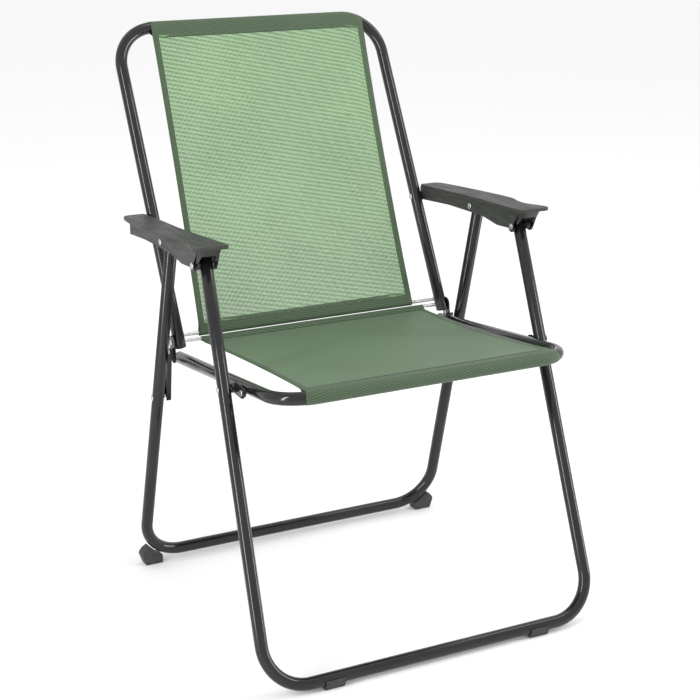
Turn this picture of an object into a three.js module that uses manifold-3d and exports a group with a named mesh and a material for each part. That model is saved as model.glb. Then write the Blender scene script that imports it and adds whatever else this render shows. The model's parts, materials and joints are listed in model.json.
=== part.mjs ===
// Folding camp chair: two steel U-legs, an inverted-U back, a U seat, two plastic armrests
// and two slings of coated mesh. Millimetres, +Z up, the sitter faces -Y, +X is to the right.
// The origin is on the floor, under the middle of the chair's box.
import * as THREE from 'three';
import { mergeVertices } from 'three/addons/utils/BufferGeometryUtils.js';
import Module from 'manifold-3d';

const wasm = await Module();
wasm.setup();

// ---------------------------------------------------------------- driving dimensions
const TUBE_R = 9;               // every frame tube is 18 mm round
const WALL = 0.9;
const GAP = 0.3;                // clearance between pieces that touch
const RIVET_R = 2.5;
const HEAD_R = 4.6;
const HEAD_H = 1.6;
const ROD_R = 2.8;              // seat axle and the back sling's lower rod
const TUBE_SIDES = 12;
const ROUND_SIDES = 12;

// pivots in the side view: [y, z]
const ARM_FRONT = [-100.8, 551.3];   // armrest to front leg
const ARM_REAR = [17.0, 558.7];      // armrest to rear leg
const ARM_BACK = [163.2, 547.5];     // armrest to back frame
const SEAT_FRONT = [-184.0, 392.5];  // front leg's bracket to seat tube
// the armrest and the seat stay parallel, so this pivot closes the parallelogram
const SEAT_REAR = [
  SEAT_FRONT[0] + ARM_BACK[0] - ARM_FRONT[0],
  SEAT_FRONT[1] + ARM_BACK[1] - ARM_FRONT[1],
];
const LINK_DROP = 14.5;              // link's upper pivot, below the seat's rear pivot
const LINK_TOP = [SEAT_REAR[0], SEAT_REAR[1] - LINK_DROP];
const LINK_FOOT = [89.5, 304.6];     // link to rear leg

// half widths, centre of the chair to a tube's axis
const BACK_X = 222;
const SEAT_X = 222;
const FRONT_LEG_FOOT_X = 260;
const FRONT_LEG_TOP_X = 248;
const REAR_LEG_FOOT_X = 257;
const REAR_LEG_TOP_X = 251;

// tube axes in the side view
const FRONT_BAR = [-309.6, 12.5];
const REAR_BAR = [171.8, 15.8];
const BACK_TILT = THREE.MathUtils.degToRad(28.4);   // from the vertical
const BACK_TOP_RISE = 308.5;         // top bar's axis above the armrest pivot, along the tube
const BACK_ROD_RISE = 9.1;           // back sling's lower rod, up the tube from the seat's rear pivot
const BACK_ROD_BEHIND = 2.6;         // and behind the tube's axis, clear of the folded seat sling
const BACK_END_DROP = 7.4;             // tube's cut end below the seat's rear pivot
const SEAT_TILT = THREE.MathUtils.degToRad(6.8);    // front edge up
const SEAT_TUBE_DROP = 24.3;         // seat tube's axis below its rear pivot
const SEAT_FRONT_Y = -285;
const SEAT_END_Y = 76.7;
const FRONT_LEG_END = 10.5;            // tube's end past its top rivet
const REAR_LEG_END = 6;

const FRONT_LEG_BEND = 62;
const REAR_LEG_BEND = 62;
const BACK_BEND = 62;
const SEAT_BEND = 50;

// ---------------------------------------------------------------- helpers: points and solids
const v3 = (x, y, z) => new THREE.Vector3(x, y, z);
const backDir = [Math.sin(BACK_TILT), Math.cos(BACK_TILT)];

/** A path of straight runs and round bends, whose sections lie only where the tube bends. */
class BentPath extends THREE.Curve {
  constructor(corners, bendRadius, bendSteps = 6) {
    super();
    this.knots = [{ point: corners[0], tangent: corners[1].clone().sub(corners[0]).normalize() }];
    for (let i = 1; i < corners.length - 1; i += 1) {
      this.addBend(corners[i - 1], corners[i], corners[i + 1], bendRadius, bendSteps);
    }
    const last = corners[corners.length - 1];
    const before = corners[corners.length - 2];
    this.knots.push({ point: last, tangent: last.clone().sub(before).normalize() });
  }

  addBend(before, corner, after, radius, steps) {
    const arriving = corner.clone().sub(before).normalize();
    const leaving = after.clone().sub(corner).normalize();
    const turn = arriving.angleTo(leaving);
    const start = corner.clone().addScaledVector(arriving, -radius * Math.tan(turn / 2));
    const inward = leaving.clone().addScaledVector(arriving, -leaving.dot(arriving)).normalize();
    const centre = start.clone().addScaledVector(inward, radius);
    for (let i = 0; i <= steps; i += 1) {
      const angle = (turn * i) / steps;
      const point = centre.clone()
        .addScaledVector(inward, -radius * Math.cos(angle))
        .addScaledVector(arriving, radius * Math.sin(angle));
      const tangent = arriving.clone().multiplyScalar(Math.cos(angle))
        .addScaledVector(inward, Math.sin(angle));
      this.knots.push({ point, tangent });
    }
  }

  get steps() { return this.knots.length - 1; }

  getPoint(t, target = v3(0, 0, 0)) {
    const place = t * this.steps;
    const index = Math.min(Math.floor(place), this.steps - 1);
    return target.lerpVectors(this.knots[index].point, this.knots[index + 1].point, place - index);
  }

  getTangent(t, target = v3(0, 0, 0)) {
    return target.copy(this.knots[Math.round(t * this.steps)].tangent);
  }

  getPointAt(u, target) { return this.getPoint(u, target); }

  getTangentAt(u, target) { return this.getTangent(u, target); }
}

/** A circle as a polygon with the circle's own area, so a faceted tube keeps its mass. */
function ring(radius, sides) {
  const step = (2 * Math.PI) / sides;
  const cornerRadius = radius * Math.sqrt(step / Math.sin(step));
  const points = [];
  for (let i = 0; i < sides; i += 1) {
    points.push(new THREE.Vector2(cornerRadius * Math.cos(i * step), cornerRadius * Math.sin(i * step)));
  }
  return points;
}

function hollowTube(path) {
  const section = new THREE.Shape(ring(TUBE_R, TUBE_SIDES));
  section.holes.push(new THREE.Path(ring(TUBE_R - WALL, TUBE_SIDES)));
  return new THREE.ExtrudeGeometry(section, { steps: path.steps, extrudePath: path });
}

/** A round bar along X from x0 to x1, its axis at [y, z]. */
function barX([y, z], radius, x0, x1, sides = ROUND_SIDES) {
  const bar = new THREE.CylinderGeometry(radius, radius, Math.abs(x1 - x0), sides);
  bar.rotateZ(Math.PI / 2);
  bar.translate((x0 + x1) / 2, y, z);
  return bar;
}

/** A side-view outline of [y, z] points, as thick as the stretch from x0 to x1. */
function plateX(outline, x0, x1, holes = []) {
  const shape = new THREE.Shape(outline.map(([y, z]) => new THREE.Vector2(y, z)));
  for (const hole of holes) {
    shape.holes.push(new THREE.Path(hole.map(([y, z]) => new THREE.Vector2(y, z))));
  }
  const plate = new THREE.ExtrudeGeometry(shape, { depth: Math.abs(x1 - x0), bevelEnabled: false });
  plate.applyMatrix4(new THREE.Matrix4().makeBasis(v3(0, 1, 0), v3(0, 0, 1), v3(1, 0, 0)));
  plate.translate(Math.min(x0, x1), 0, 0);
  return plate;
}

/** Points on an arc in the side view, from one angle to another in degrees. */
function arc([y, z], radius, from, to, steps = 6) {
  const points = [];
  for (let i = 0; i <= steps; i += 1) {
    const angle = THREE.MathUtils.degToRad(from + ((to - from) * i) / steps);
    points.push([y + radius * Math.cos(angle), z + radius * Math.sin(angle)]);
  }
  return points;
}

const circle = (centre, radius, sides = ROUND_SIDES) => arc(centre, radius, 0, 360, sides).slice(0, -1);

function toSolid(geometry) {
  const bare = geometry.clone();
  bare.deleteAttribute('normal');
  bare.deleteAttribute('uv');
  const merged = mergeVertices(bare, 1e-4);
  return new wasm.Manifold(new wasm.Mesh({
    numProp: 3,
    vertProperties: new Float32Array(merged.attributes.position.array),
    triVerts: new Uint32Array(merged.index.array),
  }));
}

function toGeometry(solid) {
  const mesh = solid.getMesh();
  const geometry = new THREE.BufferGeometry();
  geometry.setAttribute('position', new THREE.BufferAttribute(new Float32Array(mesh.vertProperties), 3));
  geometry.setIndex(new THREE.BufferAttribute(new Uint32Array(mesh.triVerts), 1));
  geometry.computeVertexNormals();
  return geometry;
}

function cut(geometry, ...tools) {
  return toGeometry(tools.reduce((solid, tool) => solid.subtract(toSolid(tool)), toSolid(geometry)));
}

function join(...geometries) {
  return toGeometry(geometries.map(toSolid).reduce((solid, next) => solid.add(next)));
}

// ---------------------------------------------------------------- materials
const finish = (color, roughness, metalness) => (
  () => new THREE.MeshStandardMaterial({ color, roughness, metalness }));
const blackPaint = finish(0x2b2b2d, 0.35, 0.3);
const greyPlastic = finish(0x4a4b4d, 0.55, 0);
const blackPlastic = finish(0x1c1c1d, 0.6, 0);
const zincSteel = finish(0xa9abad, 0.35, 0.9);
const greenMesh = finish(0x7fa57d, 0.8, 0);

const chair = new THREE.Group();
chair.name = 'folding_camp_chair';

function add(name, geometry, material) {
  const mesh = new THREE.Mesh(geometry, material());
  mesh.name = name;
  chair.add(mesh);
}

const SIDES = [['left', -1], ['right', 1]];

// ---------------------------------------------------------------- derived places
/** Half width of a splayed leg's axis at height z. */
const splay = (footX, topX, foot, top, z) => footX + ((topX - footX) * (z - foot[1])) / (top[1] - foot[1]);
const frontLegX = (z) => splay(FRONT_LEG_FOOT_X, FRONT_LEG_TOP_X, FRONT_BAR, ARM_FRONT, z);
const rearLegX = (z) => splay(REAR_LEG_FOOT_X, REAR_LEG_TOP_X, REAR_BAR, ARM_REAR, z);
const alongBack = (s) => [ARM_BACK[0] + s * backDir[0], ARM_BACK[1] + s * backDir[1]];
const seatRearAlongBack = (SEAT_REAR[0] - ARM_BACK[0]) * backDir[0] + (SEAT_REAR[1] - ARM_BACK[1]) * backDir[1];
const seatAxisZ = (y) => (
  SEAT_REAR[1] - SEAT_TUBE_DROP * Math.cos(SEAT_TILT)
  - (y - SEAT_REAR[0] - SEAT_TUBE_DROP * Math.sin(SEAT_TILT)) * Math.tan(SEAT_TILT));
/** The front leg's axis at height z. */
const frontLegY = (z) => (
  ARM_FRONT[0] + ((FRONT_BAR[0] - ARM_FRONT[0]) * (z - ARM_FRONT[1])) / (FRONT_BAR[1] - ARM_FRONT[1]));
const BRACKET_RIVET_Z = 393.4;
const BRACKET_RIVET = [frontLegY(BRACKET_RIVET_Z), BRACKET_RIVET_Z];

// ---------------------------------------------------------------- frame tubes
/** The axis of a U: two mirrored ends, joined by a bar. */
function uPath(endX, end, barHalf, bar, bendRadius) {
  return new BentPath([
    v3(-endX, ...end), v3(-barHalf, ...bar), v3(barHalf, ...bar), v3(endX, ...end),
  ], bendRadius);
}

const REACH = 320;              // longer than the chair is wide on either side
const drill = (place, radius = RIVET_R + GAP) => barX(place, radius, -REACH, REACH);

/** The point past a leg's top rivet where its tube ends. */
function pastTop(foot, top, extra) {
  const length = Math.hypot(top[0] - foot[0], top[1] - foot[1]);
  return top.map((value, i) => value + ((value - foot[i]) * extra) / length);
}

const frontLegEnd = pastTop(FRONT_BAR, ARM_FRONT, FRONT_LEG_END);
const frontLegPath = uPath(
  frontLegX(frontLegEnd[1]), frontLegEnd, FRONT_LEG_FOOT_X, FRONT_BAR, FRONT_LEG_BEND);
const rearLegEnd = pastTop(REAR_BAR, ARM_REAR, REAR_LEG_END);
const rearLegPath = uPath(
  rearLegX(rearLegEnd[1]), rearLegEnd, REAR_LEG_FOOT_X, REAR_BAR, REAR_LEG_BEND);
const backTubeEnd = alongBack(seatRearAlongBack - BACK_END_DROP);
const [rodY, rodZ] = alongBack(seatRearAlongBack + BACK_ROD_RISE);
const backRod = [rodY + BACK_ROD_BEHIND * backDir[1], rodZ - BACK_ROD_BEHIND * backDir[0]];
const backBar = alongBack(BACK_TOP_RISE);
const backPath = uPath(BACK_X, backTubeEnd, BACK_X, backBar, BACK_BEND);
const seatTubeEnd = [SEAT_END_Y, seatAxisZ(SEAT_END_Y)];
const seatBar = [SEAT_FRONT_Y, seatAxisZ(SEAT_FRONT_Y)];
const seatPath = uPath(SEAT_X, seatTubeEnd, SEAT_X, seatBar, SEAT_BEND);

function frameTubes() {
  add('front_leg_tube', cut(hollowTube(frontLegPath), drill(ARM_FRONT), drill(BRACKET_RIVET)), blackPaint);
  add('rear_leg_tube', cut(hollowTube(rearLegPath), drill(ARM_REAR), drill(LINK_FOOT)), blackPaint);
  const axleHole = drill(SEAT_REAR, ROD_R + GAP);
  const rodHole = drill(backRod, ROD_R + GAP);
  add('back_frame_tube', cut(hollowTube(backPath), drill(ARM_BACK), axleHole, rodHole), blackPaint);
  add('seat_frame_tube', cut(hollowTube(seatPath), drill(SEAT_FRONT)), blackPaint);
}

/** A dome-ended plastic stopper in a tube's open end; `out` points out of the tube. */
function tubePlug(x, [y, z], out) {
  const reach = 4.5;
  const stem = TUBE_R - WALL - GAP;
  const profile = [[0, -reach], [stem, -reach], [stem, GAP], [TUBE_R, GAP], [TUBE_R, 1.4],
    [TUBE_R * 0.8, 2.9], [TUBE_R * 0.4, 3.6], [0, 3.8]];
  const plug = new THREE.LatheGeometry(profile.map(([r, h]) => new THREE.Vector2(r, h)), TUBE_SIDES);
  plug.rotateX(Math.atan2(out[1], out[0]));
  plug.translate(x, y, z);
  return plug;
}

function tubePlugs(side, s) {
  const downBack = [-backDir[0], -backDir[1]];
  add(`back_tube_plug_${side}`, tubePlug(s * BACK_X, backTubeEnd, downBack), blackPlastic);
  const rearward = [Math.cos(SEAT_TILT), -Math.sin(SEAT_TILT)];
  add(`seat_tube_plug_${side}`, tubePlug(s * SEAT_X, seatTubeEnd, rearward), blackPlastic);
}

// ---------------------------------------------------------------- rods and rivets
/** A pin along X with a domed head on each end that is given one. */
function rivet(place, s, x0, x1, { radius = RIVET_R, heads = [true, true] } = {}) {
  const head = (x, way) => [[0, x + way * HEAD_H], [HEAD_R * 0.6, x + way * HEAD_H * 0.75],
    [HEAD_R, x + way * 0.3], [HEAD_R, x], [radius, x]];
  const plain = (x) => [[0, x], [radius, x]];
  const low = heads[0] ? head(x0, -1) : plain(x0);
  const high = heads[1] ? head(x1, 1) : plain(x1);
  const profile = [...low, ...high.reverse()].map(([r, x]) => new THREE.Vector2(r, x));
  const pin = new THREE.LatheGeometry(profile, ROUND_SIDES);
  pin.rotateZ(-Math.PI / 2);
  if (s < 0) pin.rotateY(Math.PI);
  pin.translate(0, ...place);
  return pin;
}

const washer = (place, s, x0, x1, radius) => (
  plateX(circle(place, radius), s * x0, s * x1, [circle(place, RIVET_R + GAP)]));

const SEAT_PLATE = [SEAT_X + TUBE_R + 0.4, SEAT_X + TUBE_R + 2.4];
const LINK_WEB = [235.6, 237.2];
const LINK_EDGE_X = 242.8;
const BRACKET = [234, 236.2];
const INNER_SKIRT = [234.5, 237.5];
const OUTER_SKIRT = [265, 268];
const INNER_TUBE_FACE = SEAT_X - TUBE_R;
const OUTER_TUBE_FACE = SEAT_X + TUBE_R;

function rods() {
  const axleEnd = SEAT_PLATE[1] + GAP;
  add('seat_axle', rivet(SEAT_REAR, 1, -axleEnd, axleEnd, { radius: ROD_R }), zincSteel);
  const rodEnd = BACK_X + TUBE_R;
  add('back_lower_rod', barX(backRod, ROD_R, -rodEnd, rodEnd), zincSteel);
}

function rivets(side, s) {
  const legFace = frontLegX(BRACKET_RIVET_Z) + TUBE_R;
  const rearFace = rearLegX(LINK_FOOT[1]) + TUBE_R;
  const skirts = [INNER_SKIRT[0] - GAP, OUTER_SKIRT[1] + GAP];
  add(`armrest_front_rivet_${side}`, rivet(ARM_FRONT, s, ...skirts), zincSteel);
  add(`armrest_rear_rivet_${side}`, rivet(ARM_REAR, s, ...skirts), zincSteel);
  add(`armrest_back_rivet_${side}`,
    rivet(ARM_BACK, s, INNER_TUBE_FACE - GAP, INNER_SKIRT[1] + GAP), zincSteel);
  add(`bracket_rivet_${side}`, rivet(BRACKET_RIVET, s, BRACKET[0] - GAP, legFace + GAP), zincSteel);
  add(`seat_front_rivet_${side}`,
    rivet(SEAT_FRONT, s, INNER_TUBE_FACE - GAP, BRACKET[1] + GAP), zincSteel);
  add(`link_top_rivet_${side}`,
    rivet(LINK_TOP, s, SEAT_PLATE[0] + GAP, LINK_WEB[1] + GAP, { heads: [false, true] }), zincSteel);
  // the rear leg's rivet and the link's pin meet end to end: this is the pivot left open
  add(`rear_leg_rivet_${side}`,
    rivet(LINK_FOOT, s, rearFace - 2 * TUBE_R + GAP, rearFace + GAP, { heads: [false, true] }), zincSteel);
  add(`link_pin_${side}`,
    rivet(LINK_FOOT, s, LINK_WEB[0] - GAP, LINK_EDGE_X, { heads: [true, false] }), zincSteel);
  add(`armrest_washer_${side}`,
    washer(ARM_BACK, s, OUTER_TUBE_FACE + GAP, INNER_SKIRT[0] - GAP, 7), blackPlastic);
  add(`seat_front_washer_${side}`,
    washer(SEAT_FRONT, s, OUTER_TUBE_FACE + GAP, BRACKET[0] - GAP, 6.5), blackPlastic);
}

// ---------------------------------------------------------------- steel plates
/** A strip with round ends, between two places. */
function strip(from, to, fromRadius, toRadius) {
  const along = THREE.MathUtils.radToDeg(Math.atan2(to[1] - from[1], to[0] - from[0]));
  return [...arc(to, toRadius, along - 90, along + 90), ...arc(from, fromRadius, along + 90, along + 270)];
}

function seatPlate(s) {
  const outline = strip(SEAT_REAR, [SEAT_END_Y - 2, seatAxisZ(SEAT_END_Y - 2) + 1], 10.5, 8);
  const holes = [circle(SEAT_REAR, ROD_R + GAP), circle(LINK_TOP, RIVET_R + GAP)];
  return plateX(outline, s * SEAT_PLATE[0], s * SEAT_PLATE[1], holes);
}

/** A folded channel: a web with a hole at each end, and two edges turned towards the leg. */
function link(s) {
  const halfWidth = 6.5;
  const sheet = 1.5;
  const tail = 5;
  const length = Math.hypot(LINK_FOOT[0] - LINK_TOP[0], LINK_FOOT[1] - LINK_TOP[1]);
  const along = [(LINK_FOOT[0] - LINK_TOP[0]) / length, (LINK_FOOT[1] - LINK_TOP[1]) / length];
  const place = (u, w) => [LINK_TOP[0] + u * along[0] - w * along[1], LINK_TOP[1] + u * along[1] + w * along[0]];
  const angle = THREE.MathUtils.radToDeg(Math.atan2(along[1], along[0]));
  const outline = [...arc(LINK_TOP, halfWidth, angle + 90, angle + 270),
    place(length + tail, -halfWidth), place(length + tail, halfWidth)];
  const holes = [circle(LINK_TOP, RIVET_R + GAP), circle(LINK_FOOT, RIVET_R + GAP)];
  const web = plateX(outline, s * LINK_WEB[0], s * LINK_WEB[1], holes);
  const edge = (way) => plateX([
    place(0, way * halfWidth), place(length + tail, way * halfWidth),
    place(length + tail, way * (halfWidth - sheet)), place(0, way * (halfWidth - sheet)),
  ], s * LINK_WEB[0], s * LINK_EDGE_X);
  return join(web, edge(1), edge(-1));
}

/** The plate that carries the seat on the front leg, dished out to meet the tube. */
function legBracket(s) {
  const outline = strip(BRACKET_RIVET, SEAT_FRONT, 8.5, 8);
  const plate = plateX(outline, s * BRACKET[0], s * BRACKET[1]);
  const tubeFace = frontLegX(BRACKET_RIVET_Z) - TUBE_R;
  const dish = barX(BRACKET_RIVET, 6.5, s * BRACKET[0], s * (tubeFace - 2 * GAP));
  return cut(join(plate, dish), drill(BRACKET_RIVET), drill(SEAT_FRONT));
}

// ---------------------------------------------------------------- armrests
const ARM_FRONT_Y = -137;
const ARM_REAR_Y = 173;
const OUTER_WALL_REAR_Y = 128;  // before the nose's lean carries it back
const ARM_SHEET = 3.5;
const ARM_SLOPE = 0.0622;
const armTopZ = (y) => 564.7 + (162.8 - y) * ARM_SLOPE;

/** The armrest seen from above: straight inside, an S-shaped outside edge and a wide front. */
function armPlan(s) {
  const inner = [[235, ARM_REAR_Y], [234, 115], [235, 30], [232, -50], [227.5, -105]];
  const frontCorner = [[227.5, ARM_FRONT_Y + 6], [230, ARM_FRONT_Y], [272, ARM_FRONT_Y],
    [277, ARM_FRONT_Y + 5]];
  const edge = new THREE.SplineCurve([[277.5, -121], [269.5, -88], [271.5, -61], [279, -34],
    [280.5, 4], [278.5, 56], [275, 117], [271, 158]].map(([x, y]) => new THREE.Vector2(x, y)));
  const outer = edge.getPoints(20).map((point) => [point.x, point.y]);
  const outline = [...inner, ...frontCorner, ...outer, [266, ARM_REAR_Y]];
  return new THREE.Shape(outline.map(([x, y]) => new THREE.Vector2(s * x, y)));
}

/** The walls from the side: shallow at the back, with a lobe round the front leg's rivet. */
function wallProfile() {
  const under = (y) => [y, armTopZ(y) - 1];
  return [under(ARM_REAR_Y - 3), [ARM_REAR_Y - 6, 540.8], [80, 548.1], [-18, 551], [-62, 545.5],
    ...arc(ARM_FRONT, 8.4, -60, -150, 4), [-111.5, 557], [ARM_FRONT_Y, 557], under(ARM_FRONT_Y)];
}

/** The walls from above: a U with a round nose; the nose leans back towards its lower edge. */
function armWalls(s) {
  const noseY = ARM_FRONT_Y + 3;
  const noseRadius = 10;
  const lean = 0.64;
  const edge = (inset) => {
    const [x0, x1] = [INNER_SKIRT[0] + inset, OUTER_SKIRT[1] - inset];
    const radius = noseRadius - inset;
    const centreY = noseY + noseRadius;
    return [[x0, ARM_REAR_Y + 40], ...arc([x0 + radius, centreY], radius, 180, 270, 3),
      ...arc([x1 - radius, centreY], radius, 270, 360, 3), [x1, OUTER_WALL_REAR_Y]];
  };
  const outline = [...edge(0), ...edge(OUTER_SKIRT[1] - OUTER_SKIRT[0]).reverse()];
  const plan = new THREE.Shape(outline.map(([x, y]) => new THREE.Vector2(s * x, y)));
  const walls = new THREE.ExtrudeGeometry(plan, { depth: 70, bevelEnabled: false });
  const noseTopZ = armTopZ(noseY);
  walls.translate(0, 0, noseTopZ - 60);
  walls.applyMatrix4(new THREE.Matrix4().set(
    1, 0, 0, 0, 0, 1, -lean, lean * noseTopZ, 0, 0, 1, 0, 0, 0, 0, 1));
  const profile = plateX(wallProfile(), s * (INNER_SKIRT[0] - 1), s * (OUTER_SKIRT[1] + 1));
  // the nose stops short of the leg, which swings between the walls
  const noseLowZ = 557;
  const channel = plateX([[ARM_FRONT_Y, 500], [ARM_REAR_Y, 500], [ARM_REAR_Y, noseLowZ], [ARM_FRONT_Y, noseLowZ]],
    s * INNER_SKIRT[1], s * OUTER_SKIRT[0]);
  return cut(toGeometry(toSolid(walls).intersect(toSolid(profile))), channel);
}

function armrest(s) {
  const slab = plateX([
    [ARM_FRONT_Y, armTopZ(ARM_FRONT_Y)], [ARM_REAR_Y, armTopZ(ARM_REAR_Y)],
    [ARM_REAR_Y, armTopZ(ARM_REAR_Y) - ARM_SHEET], [ARM_FRONT_Y, armTopZ(ARM_FRONT_Y) - ARM_SHEET],
  ], s * 220, s * 290);
  const plan = new THREE.ExtrudeGeometry(armPlan(s), { depth: 100, bevelEnabled: false });
  plan.translate(0, 0, 520);
  const top = toGeometry(toSolid(slab).intersect(toSolid(plan)));
  const boss = (place, x) => barX(place, 6, s * x, s * (OUTER_SKIRT[0] + 1));
  const frontBoss = boss(ARM_FRONT, FRONT_LEG_TOP_X + TUBE_R + 1);
  const rearBoss = boss(ARM_REAR, REAR_LEG_TOP_X + TUBE_R + 1);
  const body = join(top, armWalls(s), frontBoss, rearBoss);
  const holes = [ARM_FRONT, ARM_REAR].map((place) => drill(place));
  const backHole = barX(ARM_BACK, RIVET_R + GAP, s * 230, s * 240);
  return cut(body, ...holes, backHole);
}

// ---------------------------------------------------------------- feet
const FOOT_CLEARANCE = TUBE_R + GAP + 0.2;

/** A pad clipped under the front bar, flat on the floor. */
function frontFoot(s) {
  const shell = FRONT_BAR[1] - 1.2;
  const halfSole = 7;
  const outline = [...arc(FRONT_BAR, shell, 12, -35, 4), [FRONT_BAR[0] + halfSole, 0],
    [FRONT_BAR[0] - halfSole, 0], ...arc(FRONT_BAR, shell, 215, 168, 4)];
  const bar = barX(FRONT_BAR, FOOT_CLEARANCE, -REACH, REACH, 2 * TUBE_SIDES);
  return cut(plateX(outline, s * 149, s * 179), bar);
}

/** A boot under the rear leg's bend, flaring outwards above its sole. */
function rearFoot(s) {
  const depth = 20;
  const outline = [[229, 13], [229, 0], [258, 0], [263, 17], [258, 25], [250, 30]]
    .map(([x, z]) => new THREE.Vector2(s * x, z));
  const block = new THREE.ExtrudeGeometry(new THREE.Shape(outline), { depth, bevelEnabled: false });
  block.rotateX(Math.PI / 2);
  block.translate(0, REAR_BAR[0] + 1 + depth / 2, 0);
  const section = new THREE.Shape(ring(FOOT_CLEARANCE, 2 * TUBE_SIDES));
  const bentTube = new THREE.ExtrudeGeometry(section, { steps: rearLegPath.steps, extrudePath: rearLegPath });
  return cut(block, bentTube);
}

// ---------------------------------------------------------------- slings
const CLOTH = 1.1;

/** A sleeve of cloth round a frame tube, between two places across the chair. */
function sleeve(path, x0, x1, reach) {
  const section = new THREE.Shape(ring(TUBE_R + GAP + CLOTH, TUBE_SIDES));
  section.holes.push(new THREE.Path(ring(TUBE_R + GAP, TUBE_SIDES)));
  const sweep = new THREE.ExtrudeGeometry(section, { steps: path.steps, extrudePath: path });
  const window = new THREE.BoxGeometry(x1 - x0, reach, reach);
  window.translate((x0 + x1) / 2, path.knots[path.steps / 2 | 0].point.y, path.knots[path.steps / 2 | 0].point.z);
  return toGeometry(toSolid(sweep).intersect(toSolid(window)));
}

const rodSleeve = (place, x0, x1) => (
  plateX(circle(place, ROD_R + GAP + CLOTH), x0, x1, [circle(place, ROD_R + GAP)]));

/** A flat panel between two round bars, on the sitter's side of both. */
function panel(from, fromRadius, to, toRadius, fromX, toX) {
  const length = Math.hypot(to[0] - from[0], to[1] - from[1]);
  const normal = [(to[1] - from[1]) / length, (from[0] - to[0]) / length];
  const off = ([y, z], r) => [y + r * normal[0], z + r * normal[1]];
  const outline = [off(from, fromRadius), off(to, toRadius),
    off(to, toRadius + CLOTH), off(from, fromRadius + CLOTH)];
  const cloth = plateX(outline, fromX[0], fromX[1]);
  const skew = (toX[0] - fromX[0]) / (to[1] - from[1]);
  return { cloth, skew };
}

function backSling() {
  const topX = [-166, 194];
  const rodX = [-188, 172];
  const { cloth, skew } = panel(backBar, TUBE_R + 2 * GAP, backRod, ROD_R + GAP, topX, rodX);
  const lean = new THREE.Matrix4().set(
    1, 0, skew, -skew * backBar[1], 0, 1, 0, 0, 0, 0, 1, 0, 0, 0, 0, 1);
  cloth.applyMatrix4(lean);
  return join(cloth, sleeve(backPath, ...topX, 60), rodSleeve(backRod, ...rodX));
}

function seatSling() {
  const across = [-183, 197];
  const front = seatBar;
  const rear = SEAT_REAR;
  const outline = [[front[0], front[1] + TUBE_R + GAP], [rear[0], rear[1] - ROD_R - GAP - CLOTH],
    [rear[0], rear[1] - ROD_R - GAP], [front[0], front[1] + TUBE_R + GAP + CLOTH]];
  const cloth = plateX(outline, ...across);
  return join(cloth, sleeve(seatPath, ...across, 60), rodSleeve(rear, ...across));
}

// ---------------------------------------------------------------- the chair
frameTubes();
rods();
for (const [side, s] of SIDES) {
  tubePlugs(side, s);
  rivets(side, s);
  add(`seat_plate_${side}`, seatPlate(s), blackPaint);
  add(`link_${side}`, link(s), blackPaint);
  add(`leg_bracket_${side}`, legBracket(s), blackPaint);
  add(`armrest_${side}`, armrest(s), greyPlastic);
  add(`front_foot_${side}`, frontFoot(s), blackPlastic);
  add(`rear_foot_${side}`, rearFoot(s), blackPlastic);
}
add('back_sling', backSling(), greenMesh);
add('seat_sling', seatSling(), greenMesh);

export default chair;
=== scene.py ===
"""Looks of a folding camp chair: gloss black tube frame, plastic armrests and green mesh slings.

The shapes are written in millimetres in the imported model's frame, and become metres in
grid_mesh and outline_mesh. The sitter faces -Y, +X is the right-hand side of the picture.
"""

import json
import math
from dataclasses import dataclass

import bmesh
import bpy
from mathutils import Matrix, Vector


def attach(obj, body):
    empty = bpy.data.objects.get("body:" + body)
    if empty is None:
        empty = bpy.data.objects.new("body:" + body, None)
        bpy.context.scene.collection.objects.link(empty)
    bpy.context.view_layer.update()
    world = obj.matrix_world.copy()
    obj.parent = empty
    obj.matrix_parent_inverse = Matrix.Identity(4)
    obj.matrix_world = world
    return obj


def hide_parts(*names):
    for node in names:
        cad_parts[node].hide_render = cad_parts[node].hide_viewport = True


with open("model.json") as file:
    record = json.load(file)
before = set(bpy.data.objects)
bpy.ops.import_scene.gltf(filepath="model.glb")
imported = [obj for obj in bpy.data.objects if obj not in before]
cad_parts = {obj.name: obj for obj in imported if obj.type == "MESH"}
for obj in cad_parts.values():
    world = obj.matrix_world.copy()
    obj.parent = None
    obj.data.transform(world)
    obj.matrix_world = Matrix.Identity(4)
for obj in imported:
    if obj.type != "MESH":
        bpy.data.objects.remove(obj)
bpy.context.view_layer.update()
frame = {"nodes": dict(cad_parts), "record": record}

MM = 0.001
SIDES = (("left", -1), ("right", 1))
BODY_OF = {
    node: body for body, nodes in frame["record"]["behaviour"]["bodies"].items() for node in nodes
}
SLOT_OF = {part["node"]: part["material_slot"] for part in frame["record"]["subparts"]}

# ------------------------------------------------------------------ the frame's dimensions
TUBE_R = 9.0
WALL = 0.9
ROD_R = 2.8
GAP = 0.3
PIN_PLAY = 0.2
RIVET_R = 2.5
HEAD_R = 4.6
HEAD_H = 1.6

# plates, links, brackets and the armrest's two walls, as |x| from face to face
SEAT_PLATE = (231.4, 233.4)
LINK_WEB = (235.6, 237.2)
LINK_EDGE = 242.8
BRACKET = (234.0, 236.2)
INNER_SKIRT = (234.5, 237.5)
OUTER_SKIRT = (265.0, 268.0)

# pivots in the side view, as (y, z)
ARM_FRONT = (-100.8, 551.3)
ARM_REAR = (17.0, 558.7)
ARM_BACK = (163.2, 547.5)
SEAT_FRONT = (-184.0, 392.5)
SEAT_REAR = (80.0, 388.7)
LINK_TOP = (80.0, 374.2)
LINK_FOOT = (89.5, 304.6)
BRACKET_RIVET = (-162.0, 393.4)

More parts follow.
